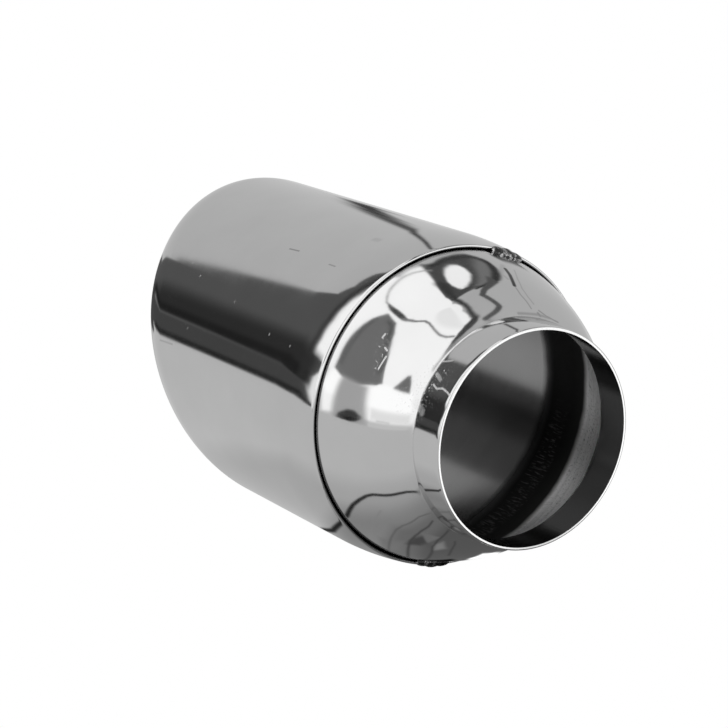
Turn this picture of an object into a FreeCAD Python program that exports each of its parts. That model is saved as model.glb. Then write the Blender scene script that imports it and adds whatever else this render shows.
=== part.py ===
# Exhaust tip for a car: a polished stainless shell with a slanted, rolled outlet,
# closed at the inlet end by a spun cap whose neck slips over the exhaust pipe.
# X runs along the axis from the inlet rim to the outlet, Z is up through the long side
# of the slanted end, and the origin is the centre of the inlet rim. Millimetres.
import FreeCAD, Part
import math
import os
from FreeCAD import Matrix, Vector

# Sheet and pipe
sheet = 0.9
pipe_diameter = 63.5
pipe_clearance = 0.3

# Inlet cap, from the neck's rim inwards
neck_length = 11.4
neck_edge_radius = 0.2
neck_fillet = 0.8
crown_slope = 50.0
cap_shoulder_share = 0.72
cap_shoulder_start = 59.5
skirt_length = 5.0
skirt_clearance = 0.1

# Outer shell
shell_diameter = 101.6
lip_distance = 41.5
lip_drop = 1.6
shoulder_length = 19.7
roll_distance = 143.2
slant_angle = 23.6
roll_radius = 26.5
roll_turn = 36.0
curl_radius = 4.0
curl_turn = 144.0

# Tack welds that bridge the groove between the two pieces
weld_angles = {"tack_weld_top": -3.0, "tack_weld_bottom": 165.0}
weld_lumps = [(-3.4, 0.85), (0.0, 1.0), (3.1, 0.8)]
weld_lump_length = 5.2
weld_width = 4.8
weld_height = 2.6
weld_tilt = 25.0
weld_setback = 0.9
weld_sink = 0.3

# Sizes that follow
neck_bore_radius = (pipe_diameter + pipe_clearance) / 2
neck_radius = neck_bore_radius + sheet
shell_radius = shell_diameter / 2
shell_bore_radius = shell_radius - sheet
skirt_radius = shell_bore_radius - skirt_clearance
lip_radius = shell_radius - lip_drop
slant = math.tan(math.radians(slant_angle))


def at(x, r):
    """A point of a turned profile: distance along the axis, and radius."""
    return Vector(x, 0, r)


def bend(start, heading, radius, turn, steps_in):
    """One bend of sheet that leaves start at heading and turns towards the axis, or away
    from it if turn is negative. It gives the arc on the outer face, the arc on the inner
    face, steps_in below, and the two points where they end. Angles are in degrees, and
    heading 0 runs along X."""
    side = 1 if turn > 0 else -1
    first = math.radians(heading)
    last = math.radians(heading + turn)
    middle = (first + last) / 2
    centre = start + at(-math.sin(first), -math.cos(first)) * (radius * side)

    def on(radius_here, angle):
        return centre + at(math.sin(angle), math.cos(angle)) * (radius_here * side)

    inner_radius = radius - steps_in * side
    outer = Part.Arc(on(radius, first), on(radius, middle), on(radius, last)).toShape()
    inner = Part.Arc(on(inner_radius, first), on(inner_radius, middle), on(inner_radius, last)).toShape()
    return outer, inner, on(radius, last), on(inner_radius, last)


def straight(start, end):
    return Part.LineSegment(start, end).toShape()


def turned(edges):
    """The solid that a closed profile sweeps round the axis."""
    wire = Part.Wire(Part.sortEdges(edges)[0])
    return Part.Face(wire).revolve(Vector(0, 0, 0), Vector(1, 0, 0), 360)


def cap_bends(start, end):
    """Radii of the crown bend and the shoulder bend, and the slope where they meet, for a
    crown that leaves start at crown_slope and runs level at end without a corner. Each bend
    has two equal tangent lengths, and the shoulder's is a share of the most there is room for."""
    slope = math.radians(crown_slope)
    run = end.x - start.x
    rise = end.z - start.z
    span_squared = run ** 2 + rise ** 2
    shoulder_tangent = cap_shoulder_share * span_squared / (2 * run)
    crown_tangent = (span_squared - 2 * shoulder_tangent * run) / 2
    crown_tangent /= run * math.cos(slope) + rise * math.sin(slope) + shoulder_tangent * (1 - math.cos(slope))
    join_rise = rise - crown_tangent * math.sin(slope)
    join_run = run - crown_tangent * math.cos(slope) - shoulder_tangent
    join = math.atan2(join_rise, join_run)
    crown_radius = crown_tangent / math.tan((slope - join) / 2)
    shoulder_radius = shoulder_tangent / math.tan(join / 2)
    return crown_radius, shoulder_radius, math.degrees(join)


def inlet_cap(filled=False):
    """Spun in one piece: neck, fillet, domed crown, shoulder and the skirt inside the shell.
    Filled, it is the same outside with no hollow, which the welds are cut to."""
    rim = at(0, neck_bore_radius)
    rim_edge = bend(at(0, neck_radius - neck_edge_radius), -90, neck_edge_radius, 90, 0)
    neck_end = at(neck_length, neck_radius)
    fillet = bend(neck_end, 0, neck_fillet, -crown_slope, sheet)
    skirt_start = at(cap_shoulder_start, skirt_radius)
    crown_radius, shoulder_radius, join = cap_bends(fillet[2], skirt_start)
    crown = bend(fillet[2], -crown_slope, crown_radius, crown_slope - join, sheet)
    shoulder_bend = bend(crown[2], -join, shoulder_radius, join, sheet)
    skirt_end = skirt_start + at(skirt_length, 0)
    outside = [
        rim_edge[0], straight(rim_edge[2], neck_end),
        fillet[0], crown[0], shoulder_bend[0], straight(shoulder_bend[2], skirt_end),
    ]
    if filled:
        inlet_middle = at(0, 0)
        skirt_middle = at(skirt_end.x, 0)
        return turned(outside + [
            straight(at(0, neck_radius - neck_edge_radius), inlet_middle),
            straight(inlet_middle, skirt_middle), straight(skirt_middle, skirt_end),
        ])
    skirt_end_inside = skirt_end - at(0, sheet)
    return turned(outside + [
        straight(rim, at(0, neck_radius - neck_edge_radius)), straight(rim, neck_end - at(0, sheet)),
        fillet[1], crown[1], shoulder_bend[1],
        straight(shoulder_bend[3], skirt_end_inside), straight(skirt_end, skirt_end_inside),
    ])


def outer_shell():
    """Tube with its inlet end spun down to a lip over the cap, and its outlet cut at a slant
    and rolled inwards."""
    shoulder_radius = (shoulder_length ** 2 + lip_drop ** 2) / (2 * lip_drop)
    shoulder_turn = math.degrees(math.asin(shoulder_length / shoulder_radius))
    lip = at(lip_distance, lip_radius)
    shoulder = bend(lip, -shoulder_turn, shoulder_radius, shoulder_turn, sheet)
    lip_heading = math.radians(shoulder_turn)
    lip_inside = lip + at(math.sin(lip_heading), -math.cos(lip_heading)) * sheet
    lip_nose = (lip + lip_inside) / 2 - at(math.cos(lip_heading), math.sin(lip_heading)) * (sheet / 2)
    tube_end = at(roll_distance + slant * shell_diameter, shell_radius)
    tube_end_inside = tube_end - at(0, sheet)
    tube = turned([
        Part.Arc(lip, lip_nose, lip_inside).toShape(), shoulder[0], shoulder[1],
        straight(shoulder[2], tube_end), straight(shoulder[3], tube_end_inside),
        straight(tube_end, tube_end_inside),
    ])

    # what lies on the inlet side of the slanted plane on which the roll begins
    side = shell_diameter
    corners = [
        Vector(0, -side, -side), Vector(roll_distance - slant * side, -side, -side),
        Vector(roll_distance + slant * side, -side, side), Vector(0, -side, side),
    ]
    kept_side = Part.Face(Part.makePolygon(corners + corners[:1])).extrude(Vector(0, 2 * side, 0))

    # the roll is turned square to the axis and then slid along X by its height
    roll_start = at(roll_distance, shell_radius)
    roll = bend(roll_start, 0, roll_radius, roll_turn, sheet)
    curl = bend(roll[2], roll_turn, curl_radius, curl_turn, sheet)
    square_roll = turned([
        straight(roll_start, roll_start - at(0, sheet)),
        roll[0], roll[1], curl[0], curl[1], straight(curl[2], curl[3]),
    ])
    slide = Matrix()
    slide.A13 = slant
    slanted_roll = square_roll.transformGeometry(slide)
    return tube.common(kept_side).fuse(slanted_roll)


def tack_weld(angle, shell, filled_cap):
    """A short row of overlapping lumps across the groove, seated on both pieces of sheet."""
    out_to_lip = straight(at(lip_distance, 0), at(lip_distance, lip_radius))
    cap_radius = out_to_lip.common(filled_cap).Length
    groove = Vector(lip_distance - weld_setback, 0, (lip_radius + cap_radius) / 2 - weld_sink)
    lumps = []
    for offset, scale in weld_lumps:
        stretch = Matrix()
        stretch.scale(weld_width / 2 * scale, weld_lump_length / 2, weld_height / 2 * scale)
        lump = Part.makeSphere(1).transformGeometry(stretch)
        lump.rotate(Vector(0, 0, 0), Vector(0, 1, 0), -weld_tilt)
        lump.translate(groove)
        lump.rotate(Vector(0, 0, 0), Vector(1, 0, 0), angle + math.degrees(offset / groove.z))
        lumps.append(lump)
    bead = lumps[0].fuse(lumps[1:])
    return bead.cut([shell, filled_cap])


pieces = {"outer_shell": outer_shell(), "inlet_cap": inlet_cap()}
for name, angle in weld_angles.items():
    pieces[name] = tack_weld(angle, pieces["outer_shell"], inlet_cap(filled=True))

os.makedirs("parts", exist_ok=True)
for name, shape in pieces.items():
    shape.exportStep("parts/" + name + ".step")
    print(name, "solids", len(shape.Solids), "valid", shape.isValid(), "cm3", round(shape.Volume / 1000, 3))
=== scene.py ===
import math

import bpy
import numpy as np
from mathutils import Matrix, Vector


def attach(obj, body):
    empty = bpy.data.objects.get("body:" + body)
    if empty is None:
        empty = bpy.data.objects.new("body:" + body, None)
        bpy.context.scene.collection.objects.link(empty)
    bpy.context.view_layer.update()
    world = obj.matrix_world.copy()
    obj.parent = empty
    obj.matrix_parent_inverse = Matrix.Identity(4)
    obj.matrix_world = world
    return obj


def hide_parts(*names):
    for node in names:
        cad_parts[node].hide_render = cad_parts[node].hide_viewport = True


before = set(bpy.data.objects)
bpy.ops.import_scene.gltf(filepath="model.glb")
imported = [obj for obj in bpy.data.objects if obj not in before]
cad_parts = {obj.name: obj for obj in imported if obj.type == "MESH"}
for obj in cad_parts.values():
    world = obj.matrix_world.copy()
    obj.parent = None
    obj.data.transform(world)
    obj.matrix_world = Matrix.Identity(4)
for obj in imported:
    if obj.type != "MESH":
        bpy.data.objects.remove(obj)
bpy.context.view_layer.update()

millimetre = 0.001
mergeDistance = 1e-6     # between points of a profile in mm, and between a mesh's vertices in m


# small helpers
def toLinear(hexColour):
    channels = [int(hexColour[place:place + 2], 16) / 255 for place in (0, 2, 4)]
    linear = [c / 12.92 if c <= 0.04045 else ((c + 0.055) / 1.055) ** 2.4 for c in channels]
    return (*linear, 1.0)


def grey(level):
    return (level, level, level, 1.0)


def addNode(tree, kind, settings=None, links=None):
    node = tree.nodes.new(kind)
    for name, value in (settings or {}).items():
        if isinstance(name, int) or name in node.inputs:
            node.inputs[name].default_value = value
        else:
            setattr(node, name, value)
    for name, socket in (links or {}).items():
        tree.links.new(socket, node.inputs[name])
    return node


def newMaterial(name):
    material = bpy.data.materials.new(name)
    material.use_nodes = True
    material.node_tree.nodes.clear()
    return material, material.node_tree


def deselectAll():
    if bpy.context.object and bpy.context.object.mode != "OBJECT":
        bpy.ops.object.mode_set(mode="OBJECT")
    bpy.ops.object.select_all(action="DESELECT")


def makeActive(piece):
    deselectAll()
    piece.select_set(True)
    bpy.context.view_layer.objects.active = piece


# camera at the photograph's viewing angle
cameraSettings = {
    "place": (-0.52331, 0.41651, 0.01273),
    "angles": (89.086, -20.956, -123.652),
    "lens": 115.93,
    "sensor": 36.0,
    "clip": (0.01, 50.0),
}

cameraData = bpy.data.cameras.new("photoCamera")
cameraData.lens = cameraSettings["lens"]
cameraData.sensor_width = cameraSettings["sensor"]
cameraData.clip_start, cameraData.clip_end = cameraSettings["clip"]
camera = bpy.data.objects.new("photoCamera", cameraData)
camera.location = cameraSettings["place"]
camera.rotation_euler = [math.radians(angle) for angle in cameraSettings["angles"]]
bpy.context.scene.collection.objects.link(camera)
bpy.context.scene.camera = camera
bpy.context.scene.view_settings.view_transform = "Standard"
print("camera placed")


# turned sheet: one profile, spun round the X axis
def bendPoints(start, heading, radius, turn, sheet, steps):
    # outer and inner points of one bend of sheet, towards the axis if turn is positive
    side = 1 if turn > 0 else -1
    first = math.radians(heading)
    centre = (start[0] - math.sin(first) * radius * side, start[1] - math.cos(first) * radius * side)
    outer = []
    inner = []
    for step in range(steps + 1):
        angle = first + math.radians(turn) * step / steps
        for points, reach in ((outer, radius), (inner, radius - sheet * side)):
            points.append((centre[0] + math.sin(angle) * reach * side,
                           centre[1] + math.cos(angle) * reach * side))
    return outer, inner


def linePoints(start, end, steps):
    run, rise = end[0] - start[0], end[1] - start[1]
    return [(start[0] + run * step / steps, start[1] + rise * step / steps) for step in range(steps + 1)]


def joined(*runs):
    # runs end to end, with each shared point kept once
    points = []
    for run in runs:
        for point in run:
            if not points or math.dist(point, points[-1]) > mergeDistance:
                points.append(point)
    if math.dist(points[0], points[-1]) < mergeDistance:
        points.pop()
    return points


def spunSheet(name, profile, turns):
    # a circle's vertices are moved onto the profile, a closed loop of (distance along X, radius) in mm
    deselectAll()
    bpy.ops.mesh.primitive_circle_add(vertices=len(profile), radius=0.01)
    piece = bpy.context.active_object
    piece.name = name
    for vertex, (along, radius) in zip(piece.data.vertices, profile):
        vertex.co = (along * millimetre, 0, radius * millimetre)
    bpy.ops.object.mode_set(mode="EDIT")
    bpy.ops.mesh.select_all(action="SELECT")
    bpy.ops.mesh.spin(steps=turns, angle=math.tau, center=(0, 0, 0), axis=(1, 0, 0))
    bpy.ops.mesh.select_all(action="SELECT")
    bpy.ops.mesh.remove_doubles(threshold=mergeDistance)
    bpy.ops.mesh.normals_make_consistent(inside=False)
    bpy.ops.object.mode_set(mode="OBJECT")
    return piece


# inlet cap, in mm and degrees; steps are the short runs that each part is drawn in
capSizes = {
    "sheet": 0.9,
    "boreRadius": 31.9,
    "neckLength": 11.75,
    "neckTaper": 3.2,
    "edgeRadius": 0.4,
    "edgeMargin": 0.05,     # keeps the end face flat up to its rounded edge
    "filletRadius": 0.5,
    "crownSlope": 48.5,
    "shoulderShare": 0.72,
    "shoulderStart": 59.5,
    "skirtRadius": 49.8,
    "skirtLength": 5.0,
    "turns": 360,
    "steps": {"edge": 4, "neck": 8, "fillet": 10, "crown": 44, "shoulder": 30, "skirt": 4},
}


def capBends(sizes, start, end):
    # radii of the crown and shoulder bends, and the slope in degrees where they meet
    slope = math.radians(sizes["crownSlope"])
    run, rise = end[0] - start[0], end[1] - start[1]
    spanSquared = run ** 2 + rise ** 2
    shoulderTangent = sizes["shoulderShare"] * spanSquared / (2 * run)
    crownTangent = (spanSquared - 2 * shoulderTangent * run) / 2
    crownTangent /= run * math.cos(slope) + rise * math.sin(slope) + shoulderTangent * (1 - math.cos(slope))
    join = math.atan2(rise - crownTangent * math.sin(slope),
                      run - crownTangent * math.cos(slope) - shoulderTangent)
    crownRadius = crownTangent / math.tan((slope - join) / 2)
    shoulderRadius = shoulderTangent / math.tan(join / 2)
    return crownRadius, shoulderRadius, math.degrees(join)


def capProfile(sizes):
    sheet, steps = sizes["sheet"], sizes["steps"]
    bore, skirt = sizes["boreRadius"], sizes["skirtRadius"]
    taper, slope = sizes["neckTaper"], sizes["crownSlope"]
    neckRadius = bore + sheet
    neckEnd = (sizes["neckLength"], neckRadius + sizes["neckLength"] * math.tan(math.radians(taper)))
    skirtEnd = sizes["shoulderStart"] + sizes["skirtLength"]
    edgeStart = neckRadius - sizes["edgeRadius"]
    rimEdge = bendPoints((0, edgeStart), -90, sizes["edgeRadius"], 90, 0, steps["edge"])[0]
    fillet = bendPoints(neckEnd, -taper, sizes["filletRadius"], taper - slope, sheet, steps["fillet"])
    crownRadius, shoulderRadius, join = capBends(sizes, fillet[0][-1], (sizes["shoulderStart"], skirt))
    crown = bendPoints(fillet[0][-1], -slope, crownRadius, slope - join, sheet, steps["crown"])
    shoulder = bendPoints(crown[0][-1], -join, shoulderRadius, join, sheet, steps["shoulder"])
    outside = joined([(0, edgeStart - sizes["edgeMargin"])], rimEdge,
                     linePoints(rimEdge[-1], neckEnd, steps["neck"]), fillet[0], crown[0], shoulder[0],
                     linePoints(shoulder[0][-1], (skirtEnd, skirt), steps["skirt"]))
    inside = joined(linePoints((0, bore), fillet[1][0], steps["neck"]), fillet[1], crown[1], shoulder[1],
                    linePoints(shoulder[1][-1], (skirtEnd, skirt - sheet), steps["skirt"]))
    return outside, inside


capOutside, capInside = capProfile(capSizes)
cap = spunSheet("capSheet", capOutside + capInside[::-1], capSizes["turns"])
print("cap spun:", len(cap.data.vertices), "vertices")


# outer shell, in mm and degrees
shellSizes = {
    "sheet": 0.9,
    "radius": 50.8,
    "lipDistance": 41.5,
    "lipDrop": 1.6,
    "shoulderLength": 19.7,
    "rollDistance": 143.2,
    "slantAngle": 23.6,
    "rollRadius": 26.5,
    "rollTurn": 36.0,
    "curlRadius": 4.0,
    "curlTurn": 144.0,
    "turns": 320,
    "steps": {"shoulder": 26, "tube": 14, "roll": 22, "curl": 30, "nose": 8},
}


def shellProfile(sizes):
    sheet, steps = sizes["sheet"], sizes["steps"]
    shoulderRadius = (sizes["shoulderLength"] ** 2 + sizes["lipDrop"] ** 2) / (2 * sizes["lipDrop"])
    shoulderTurn = math.degrees(math.asin(sizes["shoulderLength"] / shoulderRadius))
    lip = (sizes["lipDistance"], sizes["radius"] - sizes["lipDrop"])
    rollStart = (sizes["rollDistance"], sizes["radius"])
    shoulder = bendPoints(lip, -shoulderTurn, shoulderRadius, shoulderTurn, sheet, steps["shoulder"])
    roll = bendPoints(rollStart, 0, sizes["rollRadius"], sizes["rollTurn"], sheet, steps["roll"])
    curl = bendPoints(roll[0][-1], sizes["rollTurn"], sizes["curlRadius"], sizes["curlTurn"], sheet,
                      steps["curl"])
    nose = bendPoints(shoulder[1][0], 180 - shoulderTurn, sheet / 2, 180, 0, steps["nose"])[0]
    tubeOutside = linePoints(shoulder[0][-1], rollStart, steps["tube"])
    tubeInside = linePoints(shoulder[1][-1], roll[1][0], steps["tube"])
    outside = joined(shoulder[0], tubeOutside, roll[0], curl[0])
    inside = joined(shoulder[1], tubeInside, roll[1], curl[1])
    return joined(outside, inside[::-1], nose)


shell = spunSheet("shellSheet", shellProfile(shellSizes), shellSizes["turns"])
slant = math.tan(math.radians(shellSizes["slantAngle"]))
slideStart = (shellSizes["lipDistance"] + shellSizes["shoulderLength"]) * millimetre
slideEnd = shellSizes["rollDistance"] * millimetre
for vertex in shell.data.vertices:
    # slide towards the slanted end: nothing at the shoulder, all of it at the roll
    share = min(max((vertex.co.x - slideStart) / (slideEnd - slideStart), 0), 1)
    vertex.co.x += slant * vertex.co.z * share
print("shell spun:", len(shell.data.vertices), "vertices")


# steel finishes
def onSheet(spot, outline):
    # the place on a turned outer face at a distance along X in mm and degrees round from the top
    along, angle = spot
    radius = np.interp(along, [point[0] for point in outline], [point[1] for point in outline])
    turn = math.radians(angle)
    return Vector((along, -radius * math.sin(turn), radius * math.cos(turn))) * millimetre


def markMask(tree, place, marks, outline):
    # 1 along each mark and less over its soft edge, by the distance from the runs between its spots
    mask = None
    for spots, width, soft, strength in marks.values():
        corners = [onSheet(spot, outline) for spot in spots]
        for start, end in zip(corners, corners[1:]):
            run = end - start
            away = addNode(tree, "ShaderNodeVectorMath", {"operation": "SUBTRACT", 1: start}, {0: place})
            share = addNode(tree, "ShaderNodeVectorMath",
                            {"operation": "DOT_PRODUCT", 1: run / run.length_squared},
                            {0: away.outputs["Vector"]})
            held = addNode(tree, "ShaderNodeClamp", None, {"Value": share.outputs["Value"]})
            foot = addNode(tree, "ShaderNodeVectorMath", {"operation": "SCALE", 0: run},
                           {"Scale": held.outputs["Result"]})
            apart = addNode(tree, "ShaderNodeVectorMath", {"operation": "DISTANCE"},
                            {0: away.outputs["Vector"], 1: foot.outputs["Vector"]})
            line = addNode(tree, "ShaderNodeMapRange",
                           {"interpolation_type": "SMOOTHSTEP", "From Min": (width / 2 + soft) * millimetre,
                            "From Max": width / 2 * millimetre, "To Min": 0.0, "To Max": strength},
                           {"Value": apart.outputs["Value"]}).outputs["Result"]
            mask = line if mask is None else addNode(tree, "ShaderNodeMath", {"operation": "MAXIMUM"},
                                                     {0: mask, 1: line}).outputs[0]
    return mask


# heat stains that run down from the top weld, and scuffs where the cap was handled:
# spots (along X, degrees from the top), width and soft edge in mm, strength
heatStains = {
    "burn": ([(29.2, -12.6), (26.0, -13.0), (22.6, -14.3), (21.0, -14.9)], 0.6, 0.6, 0.95),
    "thin": ([(20.1, -14.9), (17.7, -14.5), (15.7, -12.9), (13.9, -11.7)], 0.15, 0.4, 0.3),
    "thinner": ([(29.3, -8.2), (24.5, -10.5), (20.0, -11.8), (17.2, -10.9), (15.3, -9.3)], 0.15, 0.4, 0.22),
    "tail": ([(13.7, -7.3), (12.8, -3.3), (12.5, 1.6), (12.5, 4.3)], 0.2, 0.4, 0.35),
    "spot": ([(12.9, -8.3), (12.5, -7.4)], 0.4, 0.6, 0.4),
    "wedge": ([(12.6, -20.2), (12.6, -9.4), (12.6, -1.1)], 0.2, 0.7, 0.3),
    "left": ([(31.0, -12.3), (25.7, -17.6), (22.9, -21.1)], 0.4, 1.2, 0.16),
    "leftLow": ([(25.6, -16.6), (23.8, -15.7)], 0.2, 0.8, 0.16),
}
scuffs = {
    "curl": ([(9.5, -82.2), (7.5, -83.4), (5.1, -82.2), (2.5, -83.1), (1.2, -83.9)], 0.3, 0.35, 0.55),
    "arc": ([(11.3, -69.7), (9.2, -68.4), (8.3, -67.3)], 0.2, 0.4, 0.35),
    "blob": ([(10.5, -76.8), (7.7, -78.8)], 0.5, 0.7, 0.35),
    "long": ([(24.3, -85.8), (23.9, -80.4)], 0.15, 0.3, 0.8),
    "short": ([(28.0, -74.5), (27.9, -72.9)], 0.25, 0.3, 0.7),
    "shorter": ([(25.6, -77.5), (24.6, -78.1)], 0.25, 0.3, 0.6),
    "patch": ([(12.6, -93.6), (9.8, -96.5)], 1.2, 1.2, 0.3),
}
speckle = {
    "neck": ([(13.0, -95.0), (9.0, -78.0)], 3.0, 6.0, 1.0),
    "card": ([(28.0, -73.0), (25.0, -86.0)], 0.8, 2.4, 1.0),
}
shellStains = {
    "dash": ([(91.3, -58.1), (86.0, -57.7)], 0.1, 0.4, 0.5),
    "dashNear": ([(66.5, -58.8), (63.0, -58.8)], 0.1, 0.4, 0.35),
    "smudge": ([(63.5, -41.1), (61.5, -41.1)], 0.6, 1.6, 0.14),
    "lowDash": ([(137.0, -106.9), (128.4, -106.4)], 0.1, 0.5, 0.22),
}
shellScuffs = {
    "speckFar": ([(125.0, -79.8), (125.0, -79.4)], 0.15, 0.3, 0.5),
    "speckUpper": ([(133.7, -76.3), (133.7, -75.9)], 0.1, 0.3, 0.3),
    "speckMiddle": ([(98.4, -83.8), (98.4, -83.4)], 0.2, 0.35, 0.35),
    "speckLow": ([(72.1, -89.6), (72.1, -89.2)], 0.2, 0.3, 0.55),
    "speckNear": ([(59.0, -90.6), (59.0, -90.2)], 0.15, 0.3, 0.5),
    "speckFoot": ([(120.1, -98.7), (120.1, -98.3)], 0.15, 0.35, 0.4),
}
capMarks = {"outline": capOutside, "stains": heatStains, "scuffs": scuffs, "speckle": speckle, "corner": 0.08}
shellMarks = {"outline": [(0, shellSizes["radius"]), (200, shellSizes["radius"])],      # a plain tube
              "stains": shellStains, "scuffs": shellScuffs}
markLook = {
    "stain": "303030",
    "scuff": "c8c8c8",
    "scuffRoughness": 0.4,
    "scuffMetallic": 0.3,
    "speckScale": 1700.0,       # specks up to about 0.5 mm
    "speckRange": (0.6, 0.72),
    "speckStrength": 0.6,
    "cornerAt": 12.0,           # mm along X
    "cornerReach": (0.9, 0.3),  # mm from there to where the dullness starts and where it is full
}


def markedSteel(tree, place, marks, colour, roughness):
    # stains darken the mirror, scuffs break it into a pale matt scratch
    outline = marks["outline"]
    stained = addNode(tree, "ShaderNodeMix", {"data_type": "RGBA", 7: toLinear(markLook["stain"])},
                      {0: markMask(tree, place, marks["stains"], outline), 6: colour})
    scuffed = markMask(tree, place, marks["scuffs"], outline)
    if "speckle" in marks:
        specks = addNode(tree, "ShaderNodeTexNoise", {"Scale": markLook["speckScale"], "Detail": 2.0},
                         {"Vector": place})
        sharp = addNode(tree, "ShaderNodeMapRange",
                        {"From Min": markLook["speckRange"][0], "From Max": markLook["speckRange"][1],
                         "To Max": markLook["speckStrength"]},
                        {"Value": specks.outputs["Fac"]})
        strewn = addNode(tree, "ShaderNodeMath", {"operation": "MULTIPLY"},
                         {0: sharp.outputs["Result"], 1: markMask(tree, place, marks["speckle"], outline)})
        scuffed = addNode(tree, "ShaderNodeMath", {"operation": "MAXIMUM"},
                          {0: strewn.outputs[0], 1: scuffed}).outputs[0]
    colour = addNode(tree, "ShaderNodeMix", {"data_type": "RGBA", 7: toLinear(markLook["scuff"])},
                     {0: scuffed, 6: stained.outputs[2]}).outputs[2]
    roughness = addNode(tree, "ShaderNodeMath", {"operation": "MULTIPLY_ADD", 1: markLook["scuffRoughness"]},
                        {0: scuffed, 2: roughness}).outputs[0]
    if "corner" in marks:
        # the mop hardly reaches into the corner between neck and crown
        along = addNode(tree, "ShaderNodeSeparateXYZ", None, {"Vector": place}).outputs["X"]
        fromCorner = addNode(tree, "ShaderNodeMath",
                             {"operation": "SUBTRACT", 1: markLook["cornerAt"] * millimetre}, {0: along})
        apart = addNode(tree, "ShaderNodeMath", {"operation": "ABSOLUTE"}, {0: fromCorner.outputs[0]})
        corner = addNode(tree, "ShaderNodeMapRange",
                         {"From Min": markLook["cornerReach"][0] * millimetre,
                          "From Max": markLook["cornerReach"][1] * millimetre, "To Max": marks["corner"]},
                         {"Value": apart.outputs[0]})
        roughness = addNode(tree, "ShaderNodeMath", {"operation": "ADD"},
                            {0: corner.outputs["Result"], 1: roughness}).outputs[0]
    metal = addNode(tree, "ShaderNodeMapRange", {"To Min": 1.0, "To Max": markLook["scuffMetallic"]},
                    {"Value": scuffed}).outputs["Result"]
    return colour, roughness, metal


def polishedSteel(name, look, marks=None):
    # stainless sheet after a polishing mop: a clear mirror with hair lines round the axis
    # (noise lies mostly between 0.3 and 0.7)
    material, tree = newMaterial(name)
    place = addNode(tree, "ShaderNodeTexCoord").outputs["Object"]
    hairPlace = addNode(tree, "ShaderNodeMapping", {"Scale": look["hairScale"]}, {"Vector": place})
    hair = addNode(tree, "ShaderNodeTexNoise", {"Scale": 1.0, "Detail": 3.0, "Roughness": 0.6},
                   {"Vector": hairPlace.outputs["Vector"]})
    haze = addNode(tree, "ShaderNodeTexNoise", {"Scale": look["hazeScale"], "Detail": 4.0}, {"Vector": place})
    hairRough = addNode(tree, "ShaderNodeMapRange",
                        {"From Min": 0.35, "From Max": 0.75, "To Min": 0.0, "To Max": look["hairRoughness"]},
                        {"Value": hair.outputs["Fac"]})
    hazeRough = addNode(tree, "ShaderNodeMapRange",
                        {"From Min": 0.3, "From Max": 0.7, "To Min": look["roughness"],
                         "To Max": look["roughness"] + look["hazeRoughness"]},
                        {"Value": haze.outputs["Fac"]})
    rough = addNode(tree, "ShaderNodeMath", {"operation": "ADD"},
                    {0: hairRough.outputs["Result"], 1: hazeRough.outputs["Result"]})
    tone = addNode(tree, "ShaderNodeMix",
                   {"data_type": "RGBA", 6: toLinear(look["dull"]), 7: toLinear(look["bright"])},
                   {0: haze.outputs["Fac"]})
    bump = addNode(tree, "ShaderNodeBump", {"Strength": look["bump"], "Distance": look["bumpHeight"]},
                   {"Height": hair.outputs["Fac"]})
    shader = addNode(tree, "ShaderNodeBsdfPrincipled", {"Metallic": 1.0}, {"Normal": bump.outputs["Normal"]})
    colour, roughness = tone.outputs[2], rough.outputs[0]
    if marks:
        colour, roughness, metal = markedSteel(tree, place, marks, colour, roughness)
        tree.links.new(metal, shader.inputs["Metallic"])
    tree.links.new(colour, shader.inputs["Base Color"])
    tree.links.new(roughness, shader.inputs["Roughness"])
    addNode(tree, "ShaderNodeOutputMaterial", None, {"Surface": shader.outputs["BSDF"]})
    return material


# the cap's inner face in rings of painted light and shade, each stop at a distance along X in mm
ringLightShadeLook = {
    "reach": 70.0,                          # mm that the colour ramps cover
    # the tones are painted light and shade: a white painted highlight on the flare, black painted shade in
    # the crown
    "lightShadeTones": [(0, "6a6a6a"), (11.5, "6a6a6a"), (14, "c0c0c0"), (22, "ffffff"), (36, "fafafa"),
              (39.5, "202020"), (46, "000000"), (58, "020202"), (62.0, "3a3a3a"), (64.5, "8a8a8a")],
    "roughness": [(0, 0.1), (11.5, 0.1), (14, 0.3), (22, 0.42), (36, 0.42), (40, 0.6), (59.5, 0.5),
                  (62.5, 0.2)],
    "wrinkles": [(0, 0), (47, 0), (49, 1), (55.5, 1), (58, 0), (66, 0)],
    "brushed": [(0, 0), (13.5, 0), (15.5, 1), (35, 1), (38, 0), (66, 0)],
    "wrinklesFrom": 0.014,                  # height in m below which the wrinkles begin
    "wander": 0.008,                        # share of the reach by which the rings' edges wander
    "wanderScale": 90.0,
    "tickScale": (160.0, 1900.0, 1900.0),   # wrinkles and ticks along the axis, about 0.5 mm apart
    "lineScale": (1300.0, 40.0, 40.0),      # brush lines about 0.8 mm apart, drawn coarse enough to show
    "lineDepth": 0.22,
    "wrinkle": "5a5a5a",
    "wearOnLightShadeRings": "5c5c5c",
    "bump": 0.3,
    "bumpHeight": 0.00004,
}


def setStops(ramp, stops, reach, toColour):
    # a ramp's stops from distances in mm
    elements = ramp.color_ramp.elements
    while len(elements) < len(stops):
        elements.new(0.5)
    for element, (along, content) in zip(elements, stops):
        element.position = along / reach
        element.color = toColour(content)


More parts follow.
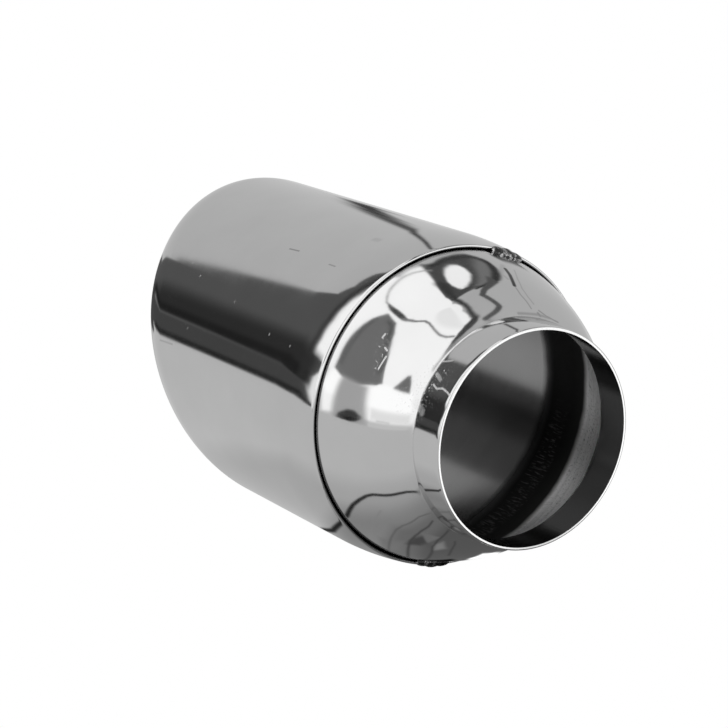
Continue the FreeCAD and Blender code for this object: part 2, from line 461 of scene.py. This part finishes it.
def ringLightShadeSteel(name, look):
    # the cap as spun, inside: smooth neck, brushed flare, dull crown with wrinkles, bare cut end; its rings
    # carry painted light and shade, a white painted highlight on the flare and black painted shade in the
    # crown
    material, tree = newMaterial(name)
    place = addNode(tree, "ShaderNodeTexCoord").outputs["Object"]
    axes = addNode(tree, "ShaderNodeSeparateXYZ", None, {"Vector": place}).outputs
    wander = addNode(tree, "ShaderNodeTexNoise", {"Scale": look["wanderScale"], "Detail": 3.0},
                     {"Vector": place})
    ring = addNode(tree, "ShaderNodeMapRange", {"From Min": 0.0, "From Max": look["reach"] * millimetre},
                   {"Value": axes["X"]})
    edge = addNode(tree, "ShaderNodeMapRange",
                   {"From Min": 0.3, "From Max": 0.7, "To Min": -look["wander"], "To Max": look["wander"]},
                   {"Value": wander.outputs["Fac"]})
    band = addNode(tree, "ShaderNodeMath", {"operation": "ADD"},
                   {0: ring.outputs["Result"], 1: edge.outputs["Result"]})
    rings = {}
    # ramps along the axis; the first gives the rings' painted light and shade
    for part, toColour in (("lightShadeTones", toLinear), ("roughness", grey), ("wrinkles", grey), ("brushed", grey)):
        ramp = addNode(tree, "ShaderNodeValToRGB", None, {"Fac": band.outputs[0]})
        setStops(ramp, look[part], look["reach"], toColour)
        rings[part] = ramp.outputs["Color"]
    ticksPlace = addNode(tree, "ShaderNodeMapping", {"Scale": look["tickScale"]}, {"Vector": place})
    ticks = addNode(tree, "ShaderNodeTexNoise", {"Scale": 1.0, "Detail": 3.0, "Roughness": 0.6},
                    {"Vector": ticksPlace.outputs["Vector"]})
    thin = addNode(tree, "ShaderNodeMapRange", {"From Min": 0.52, "From Max": 0.68},
                   {"Value": ticks.outputs["Fac"]})
    # the wrinkles only lie in the lower half
    low = addNode(tree, "ShaderNodeMapRange", {"From Min": look["wrinklesFrom"], "From Max": 0.0},
                  {"Value": axes["Z"]})
    lowThin = addNode(tree, "ShaderNodeMath", {"operation": "MULTIPLY"},
                      {0: thin.outputs["Result"], 1: low.outputs["Result"]})
    wrinkled = addNode(tree, "ShaderNodeMath", {"operation": "MULTIPLY"},
                       {0: lowThin.outputs[0], 1: rings["wrinkles"]})
    # brush lines run round the axis in the flare, crossed by a few ticks
    linesPlace = addNode(tree, "ShaderNodeMapping", {"Scale": look["lineScale"]}, {"Vector": place})
    lines = addNode(tree, "ShaderNodeTexNoise", {"Scale": 1.0, "Detail": 3.0, "Roughness": 0.6},
                    {"Vector": linesPlace.outputs["Vector"]})
    drawn = addNode(tree, "ShaderNodeMath", {"operation": "MULTIPLY"},
                    {0: lines.outputs["Fac"], 1: rings["brushed"]})
    streak = addNode(tree, "ShaderNodeMapRange",
                     {"From Min": 0.46, "From Max": 0.62, "To Max": look["lineDepth"]},
                     {"Value": drawn.outputs[0]})
    ticked = addNode(tree, "ShaderNodeMath", {"operation": "MULTIPLY"},
                     {0: drawn.outputs[0], 1: thin.outputs["Result"]})
    brushed = addNode(tree, "ShaderNodeMath", {"operation": "MAXIMUM"},
                      {0: streak.outputs["Result"], 1: ticked.outputs[0]})
    # the wrinkles and brush lines lie over the rings' painted light and shade
    wrinklesOnLightShadeRings = addNode(tree, "ShaderNodeMix", {"data_type": "RGBA", 7: toLinear(look["wrinkle"])},
                     {0: wrinkled.outputs[0], 6: rings["lightShadeTones"]})
    wearOnLightShadeRings = addNode(tree, "ShaderNodeMix", {"data_type": "RGBA", 7: toLinear(look["wearOnLightShadeRings"])},
                   {0: brushed.outputs[0], 6: wrinklesOnLightShadeRings.outputs[2]})
    bump = addNode(tree, "ShaderNodeBump", {"Strength": look["bump"], "Distance": look["bumpHeight"]},
                   {"Height": ticks.outputs["Fac"]})
    shader = addNode(tree, "ShaderNodeBsdfPrincipled", {"Metallic": 1.0},
                     {"Base Color": wearOnLightShadeRings.outputs[2], "Roughness": rings["roughness"],
                      "Normal": bump.outputs["Normal"]})
    addNode(tree, "ShaderNodeOutputMaterial", None, {"Surface": shader.outputs["BSDF"]})
    return material


mirrorLook = {
    "hairScale": (2600.0, 40.0, 40.0),     # hair lines about 0.4 mm apart, drawn coarse enough to show
    "hairRoughness": 0.03,
    "hazeScale": 60.0,
    "roughness": 0.04,
    "hazeRoughness": 0.03,
    "bump": 0.05,
    "bumpHeight": 0.00002,
    "dull": "cacaca",
    "bright": "d4d4d4",
}
# inside the shell the mop was coarser, so the mirrored room is soft; its darker grey is painted shade inside
# the tube
insideShadedLook = dict(mirrorLook, roughness=0.16, hairRoughness=0.05, dull="8a8a8a", bright="989898")
# the trimmed end of the neck is painted near white, a painted highlight that shows as a white line
rimHighlightLook = dict(mirrorLook, roughness=0.2, dull="e4e4e4", bright="ececec")

mirrorShell = polishedSteel("mirror-polished stainless shell, a few specks", mirrorLook, shellMarks)
mirrorCap = polishedSteel("mirror-polished stainless cap, heat stained and scuffed", mirrorLook, capMarks)
# a darker copy of the mirror steel, as painted shade
shellInsideShaded = polishedSteel("polished stainless, inner face of the shell, painted shade", insideShadedLook)
# rings of painted light and shade inside the cap
capInsideLightShade = ringLightShadeSteel("spun stainless, inner face of the cap in rings", ringLightShadeLook)
# a near white copy of the mirror steel, as a painted highlight
rimHighlightSteel = polishedSteel("trimmed stainless edge, painted highlight", rimHighlightLook)


weldLook = {
    "scaled": "3c3c3c",
    "bare": "c4c4c4",
    "grain": 650.0,             # patches of scale about 1.5 mm across
    "bareRange": (0.5, 0.62),
    "roughness": 0.3,
    "bump": 0.8,
    "bumpHeight": 0.0003,
}


def weldMetal(name, look):
    # a tack weld left as laid: dark scale over bright metal
    material, tree = newMaterial(name)
    place = addNode(tree, "ShaderNodeTexCoord").outputs["Object"]
    scale = addNode(tree, "ShaderNodeTexNoise", {"Scale": look["grain"], "Detail": 3.0, "Roughness": 0.6},
                    {"Vector": place})
    bare = addNode(tree, "ShaderNodeMapRange",
                   {"From Min": look["bareRange"][0], "From Max": look["bareRange"][1]},
                   {"Value": scale.outputs["Fac"]})
    tone = addNode(tree, "ShaderNodeMix",
                   {"data_type": "RGBA", 6: toLinear(look["scaled"]), 7: toLinear(look["bare"])},
                   {0: bare.outputs["Result"]})
    bump = addNode(tree, "ShaderNodeBump", {"Strength": look["bump"], "Distance": look["bumpHeight"]},
                   {"Height": scale.outputs["Fac"]})
    shader = addNode(tree, "ShaderNodeBsdfPrincipled", {"Metallic": 1.0, "Roughness": look["roughness"]},
                     {"Base Color": tone.outputs[2], "Normal": bump.outputs["Normal"]})
    addNode(tree, "ShaderNodeOutputMaterial", None, {"Surface": shader.outputs["BSDF"]})
    return material


weldSteel = weldMetal("burnt tack weld", weldLook)


dressing = {
    "facesAxis": -0.1,      # a face is inside where its normal leans this much towards the axis
    "facesInlet": -0.99,    # and on the neck's end where it looks out of the inlet
    "smoothAngle": 40,
}


def dress(piece, slots):
    # slots are the outer face, the inner face and, for the cap, the end face of the neck
    for material in slots:
        piece.data.materials.append(material)
    for face in piece.data.polygons:
        outwards = face.center.copy()
        outwards.x = 0
        if len(slots) > 2 and face.normal.x < dressing["facesInlet"]:
            face.material_index = 2
        elif face.normal.dot(outwards.normalized()) < dressing["facesAxis"]:
            face.material_index = 1
    makeActive(piece)
    bpy.ops.object.shade_smooth_by_angle(angle=math.radians(dressing["smoothAngle"]))


# the cap's inner face gets its rings of painted light and shade
dress(cap, (mirrorCap, capInsideLightShade, rimHighlightSteel))
dress(shell, (mirrorShell, shellInsideShaded))
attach(cap, "root")
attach(shell, "root")
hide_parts("inlet_cap")
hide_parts("outer_shell")
for nodeName in ("tack_weld_top", "tack_weld_bottom"):
    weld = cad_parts[nodeName]
    weld.data.materials.clear()
    weld.data.materials.append(weldSteel)
print("steel finished")


# the light tent that the steel mirrors
# Directions are (azimuth from +X towards +Y, elevation) in degrees, over a table that is turned
# about X, because the tip was photographed lying on its side. Tones are what the steel shows.
# A card gives its corners, tone and soft edge, a line its corners, tone, width and soft edge.
tent = {
    "radius": 8.0,
    "segments": 720,
    "tableTurn": -24.69,
    "steelMirrors": 0.64,
    "wall": 169,
    "steepest": 80,     # elevation above which shapes are measured as at this one
}

whiteCloth = {
    "box": ([(181, -1), (181, 91), (-44, 91), (-44, 86.4), (-24, 81), (-14.6, 76.3), (-16.7, 71.6),
             (-19.4, 66.7), (-20.6, 60.7), (-21.4, 53.2), (0, 57), (12, 51), (22.5, 46.5), (29, 39.5),
             (36, 31), (41, 22.5), (43, 17), (57, 16.5), (57.5, 6), (59, -5), (70, -3)], 244, 2.0),
    "boxFar": ([(-181, 91), (-40, 91), (-44, 86.6), (-75, 85.6), (-110, 84), (-152.8, 80.3), (-156.7, 74),
                (-157.7, 69.6), (-181, 66)], 240, 1.0),
    "top": ([(181, 86), (181, 91), (-181, 91), (-181, 86), (-150, 87), (-100, 89), (-30, 89),
             (40, 87)], 243, 5.0),
    "upperLeft": ([(181, 64), (181, 91), (60, 91), (80, 82), (110, 76), (135, 72)], 229, 6.0),
    "bright": ([(127, 5), (127, 19.5), (110, 21.5), (96, 22.5), (84, 21), (60, 18), (57, 8), (60, 5),
                (90, 6)], 254, 3.0),
    "low": ([(127, -2), (127, 5), (85, 5), (85, -2)], 222, 5.0),
    "behind": ([(-122, 33), (-181, 33), (-181, -25), (-122, -25)], 253, 4.0),
}
greyCards = {
    "screen": ([(63, 58), (50, 57.5), (50.5, 50), (53, 42), (56, 33), (59, 24), (60, 18.5), (65, 16.5),
                (70, 15.5), (75, 16), (81, 19), (89, 22.5), (87, 28), (84, 35), (80.5, 41), (76, 48),
                (71, 53.5)], 106, 1.2),
    "screenEdge": ([(84, 27), (81, 38), (77, 46), (71, 52), (64, 56.5), (57, 56), (58, 54.5), (64, 54),
                    (70, 49), (76, 42), (79.5, 35), (81.5, 27)], 84, 2.0),
    "screenNear": ([(61, 30), (58.5, 38), (56, 45), (53, 52), (51.5, 52), (53.5, 43), (57, 32), (60.5, 22),
                    (62.5, 22)], 88, 1.6),
    "screenFoot": ([(80, 17), (66, 17), (64, -8), (82, -8)], 158, 4.0),
    "wedge": ([(64, 62.5), (62, 64), (55, 63.8), (48, 62.5), (42, 60.5), (36, 58.6), (45, 58.6), (55, 60.2),
               (60, 61)], 62, 0.9),
    "flap": ([(122.5, 19.5), (121.5, 27), (119.5, 31.5), (116, 31.5), (111, 27.5), (108, 25), (104, 21.8),
              (113, 20.5)], 104, 2.4),
    "flapSide": ([(90, 22.5), (87.5, 22), (84, 27), (83.5, 33), (86, 31)], 120, 2.0),
    "ovalDark": ([(-21, 52), (-20.2, 60.7), (-19, 66.7), (-16, 72), (-14.6, 77), (-26, 81.5), (-34, 83),
                  (-46, 82), (-54, 76), (-58, 68), (-60, 60), (-58.5, 50), (-54, 40), (-48, 32), (-43, 34),
                  (-36, 45), (-29, 52)], 70, 2.2),
    "ovalShade": ([(-44, 34), (-50, 34), (-57, 47), (-59, 58), (-54, 62), (-51, 52), (-46, 43)], 108, 4.0),
    "oval": ([(-31, 65), (-34, 67.6), (-40, 68.4), (-45, 67.5), (-48, 63.5), (-49, 58), (-47.5, 52),
              (-43.5, 48.6), (-40, 48), (-36.5, 50), (-33, 54.5), (-31, 60)], 238, 1.8),
    "rearTop": ([(-60, 64), (-64, 74), (-80, 79), (-120, 78), (-140, 74), (-146, 70), (-130, 64), (-115, 60),
                 (-90, 66), (-75, 68)], 166, 5.0),
    "neckPatch": ([(150, 34), (156, 44), (161, 52), (166, 55), (174, 58), (181, 60.5),
                   (181, 34)], 172, 1.0),
    "neckStrip": ([(148.5, 42.5), (152.7, 49.4), (159.3, 56), (168.3, 61.7), (181, 66.3), (181, 60.8),
                   (173, 57.7), (164.5, 54.1), (158, 48), (154, 42), (150, 35), (144, 33),
                   (141, 36)], 62, 1.0),
    "neckStripFar": ([(-181, 66.3), (-177.2, 66.7), (-157.7, 69.8), (-150, 68), (-153.3, 65.5), (-172.8, 62),
                      (-181, 60.8)], 62, 1.0),
}
tableTop = {
    "near": ([(181, -2), (-181, -2), (-181, -91), (181, -91)], 176, 2.0),
    "bright": ([(126, -2.5), (56, -4), (54, -30), (100, -34), (126, -30)], 190, 8.0),
}
darkCard = {
    "edge": ([(51, 16), (43, 17), (41, 22.5), (36, 31), (29.5, 38), (22.5, 43.5), (10, 50), (2, 52),
              (-4, 51), (4, 46.5), (16, 42.5), (20.5, 37), (15.2, 29), (19.5, 21), (8, 10), (0, 2), (-9, -3),
              (-16, -7), (-20, -10.5), (-14, -11.5), (-5, -6), (10, 0), (29.5, 5.0), (44, 4),
              (48, 4)], 76, 0.6),
    "deepening": ([(47, 17), (36, 19), (28, 15.5), (20, 8), (8, 0), (-2, -6), (-14, -11.5), (-8, -9),
                   (8, -1.5), (29.5, 4.5), (48, 4)], 42, 7.0),
    "deep": ([(46, 9), (34, 10), (29, 7.6), (20, 4.5), (8, 0.6), (-4, -5.4), (-14, -11), (-6, -8), (8, -1.4),
              (29.5, 4.5), (46, 4)], 30, 2.4),
    "lower": ([(46, 4), (30, 4.2), (10, -2), (-3, -6), (-12, -11.5), (-3, -11.5), (10, -9), (15, -7),
               (30, -4.0), (42, -3.6), (50, -5)], 62, 0.9),
    "whiteGap": ([(57, 12), (50.2, 11), (48.5, 8), (48.5, 1), (51, -5), (57, -6)], 226, 1.6),
}
darkLines = {
    "seam": ([(161, 60), (150, 61), (139, 63.4), (128, 67), (115, 70.2), (100, 72.2), (84, 71.8), (74, 69),
              (66, 66), (61, 62)], 118, 1.6, 1.2),
    "ceiling": ([(37, 58.2), (10, 58.6), (-24, 57)], 150, 0.8, 1.0),
    "cardRim": ([(43, 6), (42.6, 15), (40, 23.5), (35, 32), (28.5, 38.5), (21.5, 43.8), (12, 48.5),
                 (4, 50)], 44, 2.4, 2.2),
    "horizon": ([(51, -5.5), (46, -3), (44, -1.5), (41, -1.8), (30, -2.8), (15, -6.6)], 34, 1.8, 1.6),
    "farEdge": ([(106, -1.8), (100, -1.6), (92, -1.8)], 188, 0.8, 0.8),
    "ovalRim": ([(-60.5, 64), (-60, 56), (-58, 48), (-54, 39), (-50, 33.5), (-47, 31.5), (-43, 34),
                 (-38, 42), (-30, 51), (-26, 53)], 52, 2.4, 1.6),
    "rearBand": ([(-24, 68), (-28, 76), (-50, 82), (-90, 82.5), (-120, 80), (-142, 76), (-151, 71.5),
                  (-152, 68.5)], 54, 3.4, 3.4),
    "rearLine": ([(-57, 47), (-61, 53), (-65, 58.5), (-69, 62.6), (-79, 67), (-90, 65.4), (-98, 63.4),
                  (-109, 59.7), (-119, 60.3), (-132, 61.8), (-145, 62.7)], 78, 3.6, 1.2),
    "rearThin": ([(-145, 62.5), (-143, 57), (-141, 52)], 80, 1.0, 1.0),
    "nearNeck": ([(-46, 19), (-45.5, 9)], 78, 2.6, 2.0),
    "corner": ([(-33, 40), (-29.6, 36.5), (-30.2, 30), (-30.3, 20), (-31.4, 11), (-31.9, 8)], 70, 1.1, 0.8),
    "cornerLow": ([(-31.9, 8.5), (-32.5, 0)], 50, 1.0, 0.4),
}
halfMoon = {
    "upper": ([(79.5, -2), (76, 0.8), (72.5, 0.4), (68, -3), (66.5, -6), (73, -4.5)], 52, 0.9),
    "lower": ([(79.5, -2.6), (72, -4.2), (66.5, -6.6), (69, -7.3), (73, -6.8), (77, -5)], 16, 0.9),
}
# the paper that the tip lies on, in millimetres of the table: x along the tip, y towards the camera
paper = {
    "height": -50.8,
    "middle": (38.0, 30.0),
    "fine": 150.0,
    "coarse": 420.0,
    "cells": 260,
    "spreadPower": 7,
    "plain": 176,
}
# over the paper, painted shadow of the tip: darker nearer it (nearer, within, shade1 to shade3) and darkest
# right under it (dark, under), with a few lighter patches; cardFoot and cardDark are painted shade where the
# dark card falls, lit and rimLight are painted light
paperShades = {
    "nearer": ([(-60, 78), (120, 78), (180, 20), (480, 20), (480, -400), (-400, -400),
                (-400, 40)], 160, 36.0),
    "within": ([(-60, 18), (-30, 40), (-4, 58), (10, 63), (38, 64.5), (48, 58), (60, 42.5), (72, 30.5),
                (86, 21), (100, 10), (120, -40), (-60, -40)], 150, 3.0),
    "shade1": ([(-60, 50), (60, 50), (80, 20), (80, -60), (-60, -60)], 122, 22.0),
    "shade2": ([(-60, 36), (34, 36), (52, 20), (52, -60), (-60, -60)], 100, 10.0),
    "shade3": ([(-60, 24), (28, 24), (44, 12), (60, -60), (-60, -60)], 82, 9.0),
    "dark": ([(22, 27), (29, 27.5), (37, 24.5), (32, 21.5), (26, 22)], 66, 3.0),
    "peak": ([(17, 21), (19, 26), (21.5, 29), (24, 25), (26, 22)], 104, 2.0),
    "patch": ([(19, 18), (24, 19.5), (30, 16), (24, 14)], 118, 3.0),
    "side": ([(36, 26), (46, 30), (50, 22), (44, 20)], 108, 5.0),
    "lit": ([(26, -3), (34, -2), (41, -5), (41, -17), (35, -15), (29, -10)], 250, 2.5),
    "under": ([(36, 4), (43, 8.5), (50, 8), (50, 2), (44, 0), (38, 1)], 12, 2.5),
    "cardFoot": ([(396, -130), (396, -66), (420, 50), (470, 84), (540, 70), (540, -130)], 60, 16.0),
    "cardDark": ([(462, -44), (474, -130), (540, -140), (540, -40)], 40, 12.0),
    "rimLight": ([(-36, -12), (-50, -62), (-110, -150), (-200, -225), (-320, -250), (-320, -160),
                  (-200, -85), (-120, -30), (-60, -2)], 253, 14.0),
}
paperLines = {
    "curve": ([(-14, 50), (-8, 56), (-4, 59), (2, 62), (10, 63.4), (20, 64), (30, 64.8), (38, 65.2),
               (42, 63.7), (47, 59.6), (52, 54.4), (55.5, 49), (58, 44.6), (61, 42), (67, 36), (74, 29),
               (86, 21), (96, 13)], 34, 2.6, 1.8),
    "second": ([(2, 35), (6, 37), (12, 38.5), (20, 37.6), (28, 37), (34, 35), (40, 30), (46, 24),
                (50, 20)], 86, 0.7, 0.9),
    "third": ([(8, 31), (14, 30), (20, 30), (27, 28.5), (33, 26), (38, 21.5), (44, 16),
               (49, 12)], 62, 0.9, 1.0),
    "fourth": ([(8, 20.5), (20, 20.5), (27, 18.5), (33, 14.5), (39, 11), (45, 8.5)], 60, 0.8, 0.9),
    "fifth": ([(16, 14), (18, 13), (24, 11.5), (31, 8.5)], 62, 0.7, 0.9),
    "faint": ([(36, 50), (42, 43), (47, 36), (51, 30)], 124, 0.8, 1.2),
}


def smooth(share):
    share = np.clip(share, 0, 1)
    return share * share * (3 - 2 * share)


def edgeDistances(across, along, corners, closed, squeeze):
    # distance from each spot to the nearest edge, and whether it is inside
    nearest = np.full(across.shape, np.inf)
    inside = np.zeros(across.shape, bool)
    ends = corners[1:] + corners[:1] if closed else corners[1:]
    for (x0, y0), (x1, y1) in zip(corners, ends):
        runX, runY = (x1 - x0) * squeeze, y1 - y0
        fromX, fromY = (across - x0) * squeeze, along - y0
        share = np.clip((fromX * runX + fromY * runY) / (runX ** 2 + runY ** 2), 0, 1)
        nearest = np.minimum(nearest, np.hypot(fromX - share * runX, fromY - share * runY))
        if closed and y0 != y1:
            crosses = (y0 > along) != (y1 > along)
            inside ^= crosses & (across < x0 + (along - y0) / (y1 - y0) * (x1 - x0))
    return nearest, inside


def highSqueeze(corners):
    # a degree of azimuth is shorter high up
    height = sum(min(abs(corner[1]), tent["steepest"]) for corner in corners) / len(corners)
    return math.cos(math.radians(height))


def flatSqueeze(corners):
    return 1.0


def paintCards(lightShadeTones, across, along, cards, squeezeOf):
    # later cards cover earlier ones
    for corners, tone, feather in cards.values():
        nearest, inside = edgeDistances(across, along, corners, True, squeezeOf(corners))
        lightShadeTones += (tone - lightShadeTones) * smooth(0.5 + np.where(inside, nearest, -nearest) / feather)


def paintLines(lightShadeTones, across, along, lines, squeezeOf):
    for corners, tone, width, feather in lines.values():
        nearest, inside = edgeDistances(across, along, corners, False, squeezeOf(corners))
        lightShadeTones += (tone - lightShadeTones) * smooth(0.5 + (width / 2 - nearest) / feather)


def toLevels(lightShadeTones):
    levels = lightShadeTones / 255
    return np.where(levels <= 0.04045, levels / 12.92, ((levels + 0.055) / 1.055) ** 2.4)


def gridSpots(piece):
    spots = np.empty(len(piece.data.vertices) * 3)
    piece.data.vertices.foreach_get("co", spots)
    return spots.reshape(-1, 3)


def hang(piece, places, lightShadeTones):
    # puts each vertex at its place over the table, writes its tone and turns the table
    piece.data.vertices.foreach_set("co", places.ravel())
    shade = piece.data.attributes.new("shade", "FLOAT", "POINT")
    shade.data.foreach_set("value", toLevels(lightShadeTones).astype(np.float32))
    piece.rotation_euler.x = math.radians(tent["tableTurn"])
    bpy.ops.object.transform_apply(rotation=True)
    piece.data.materials.append(tentLight)
    piece.visible_camera = False
    piece.visible_shadow = False


# cloth and paper shine by themselves, a little more than their tone, since steel takes some away
tentLight, tree = newMaterial("lit tent cloth")
shadeNode = addNode(tree, "ShaderNodeAttribute", {"attribute_name": "shade"})
strength = addNode(tree, "ShaderNodeMath", {"operation": "DIVIDE", 1: tent["steelMirrors"]},
                   {0: shadeNode.outputs["Fac"]})
glow = addNode(tree, "ShaderNodeEmission", None, {"Strength": strength.outputs[0]})
addNode(tree, "ShaderNodeOutputMaterial", None, {"Surface": glow.outputs["Emission"]})
tentLight.cycles.emission_sampling = "NONE"

deselectAll()
bpy.ops.mesh.primitive_grid_add(x_subdivisions=tent["segments"], y_subdivisions=tent["segments"] // 2, size=1)
tentCloth = bpy.context.active_object
tentCloth.name = "lightTent"
spots = gridSpots(tentCloth)
azimuths, elevations = spots[:, 0] * 360, spots[:, 1] * 180
turns, heights = np.radians(azimuths), np.radians(elevations)
directions = np.stack([np.cos(heights) * np.cos(turns), np.cos(heights) * np.sin(turns), np.sin(heights)],
                      axis=1)
lightShadeTones = np.full(len(spots), float(tent["wall"]))
for cards in (tableTop, whiteCloth, greyCards, darkCard):
    paintCards(lightShadeTones, azimuths, elevations, cards, highSqueeze)
paintLines(lightShadeTones, azimuths, elevations, darkLines, highSqueeze)
paintCards(lightShadeTones, azimuths, elevations, halfMoon, highSqueeze)
hang(tentCloth, directions * tent["radius"], lightShadeTones)
print("tent hung")

# cells of the paper are small near the tip and wide far from it
deselectAll()
bpy.ops.mesh.primitive_grid_add(x_subdivisions=paper["cells"], y_subdivisions=paper["cells"], size=2)
sheet = bpy.context.active_object
sheet.name = "paperUnderTip"
grid = gridSpots(sheet)
spread = grid * (paper["fine"] / 2) + np.sign(grid) * np.abs(grid) ** paper["spreadPower"] * paper["coarse"]
alongTip = spread[:, 0] + paper["middle"][0]
towardsCamera = spread[:, 1] + paper["middle"][1]
lightShadeTones = np.full(len(grid), float(paper["plain"]))
paintCards(lightShadeTones, alongTip, towardsCamera, paperShades, flatSqueeze)
paintLines(lightShadeTones, alongTip, towardsCamera, paperLines, flatSqueeze)
flatHeight = np.full(len(grid), paper["height"])
hang(sheet, np.stack([alongTip, towardsCamera, flatHeight], axis=1) * millimetre, lightShadeTones)
sheet.visible_diffuse = False
print("paper laid")


# pale floor, white background and soft lamps
floorSettings = {
    "height": -0.2,
    "radius": 3.0,
    "centre": (0.09, 0.0),
    "fadeFrom": 0.12,
    "fadeTo": 0.26,
    "sides": 96,
    "colour": "f2f2f2",
}
deselectAll()
bpy.ops.mesh.primitive_circle_add(vertices=floorSettings["sides"], radius=floorSettings["radius"],
                                  fill_type="NGON",
                                  location=(*floorSettings["centre"], floorSettings["height"]))
floor = bpy.context.active_object
floor.name = "floor"
# matt near the tip, where its shadow falls, and plain white further out for the camera
paleFloor, tree = newMaterial("pale floor")
place = addNode(tree, "ShaderNodeTexCoord").outputs["Object"]
distance = addNode(tree, "ShaderNodeVectorMath", {"operation": "LENGTH"}, {0: place})
fade = addNode(tree, "ShaderNodeMapRange",
               {"interpolation_type": "SMOOTHSTEP", "From Min": floorSettings["fadeFrom"],
                "From Max": floorSettings["fadeTo"], "To Min": 0.0, "To Max": 1.0},
               {"Value": distance.outputs["Value"]})
path = addNode(tree, "ShaderNodeLightPath")
seen = addNode(tree, "ShaderNodeMath", {"operation": "MULTIPLY"},
               {0: fade.outputs["Result"], 1: path.outputs["Is Camera Ray"]})
matt = addNode(tree, "ShaderNodeBsdfDiffuse", {"Color": toLinear(floorSettings["colour"])})
white = addNode(tree, "ShaderNodeEmission", {"Strength": 1.0})
mixed = addNode(tree, "ShaderNodeMixShader", None,
                {0: seen.outputs[0], 1: matt.outputs["BSDF"], 2: white.outputs["Emission"]})
addNode(tree, "ShaderNodeOutputMaterial", None, {"Surface": mixed.outputs["Shader"]})
floor.data.materials.append(paleFloor)
floor.visible_glossy = False

# the studio is white where it is seen or mirrored, and lights matt faces at a plain level
studioLevels = {"light": 0.5, "seen": 1.0}

world = bpy.data.worlds.new("white studio")
bpy.context.scene.world = world
world.use_nodes = True
tree = world.node_tree
tree.nodes.clear()
path = addNode(tree, "ShaderNodeLightPath")
cameraOrGlossy = addNode(tree, "ShaderNodeMath", {"operation": "MAXIMUM"},
                         {0: path.outputs["Is Camera Ray"], 1: path.outputs["Is Glossy Ray"]})
direct = addNode(tree, "ShaderNodeMath", {"operation": "MAXIMUM"},
                 {0: cameraOrGlossy.outputs[0], 1: path.outputs["Is Transmission Ray"]})
worldLevel = addNode(tree, "ShaderNodeMapRange",
                     {"To Min": studioLevels["light"], "To Max": studioLevels["seen"]},
                     {"Value": direct.outputs[0]})
backdrop = addNode(tree, "ShaderNodeBackground", {"Color": grey(1.0)},
                   {"Strength": worldLevel.outputs["Result"]})
addNode(tree, "ShaderNodeOutputWorld", None, {"Surface": backdrop.outputs["Background"]})

lamps = {
    "softTop": {"place": (-0.2, 0.3, 1.2), "size": 1.2, "power": 6.0},
    "softSide": {"place": (-0.9, 0.9, 0.4), "size": 0.9, "power": 3.0},
}
for name, lamp in lamps.items():
    lampData = bpy.data.lights.new(name, "AREA")
    lampData.shape = "DISK"
    lampData.size = lamp["size"]
    lampData.energy = lamp["power"]
    lampObject = bpy.data.objects.new(name, lampData)
    lampObject.location = lamp["place"]
    aim = -lampObject.location.normalized()
    lampObject.rotation_euler = aim.to_track_quat("-Z", "Y").to_euler()
    lampObject.visible_glossy = False
    bpy.context.scene.collection.objects.link(lampObject)
print("floor, background and lamps set")
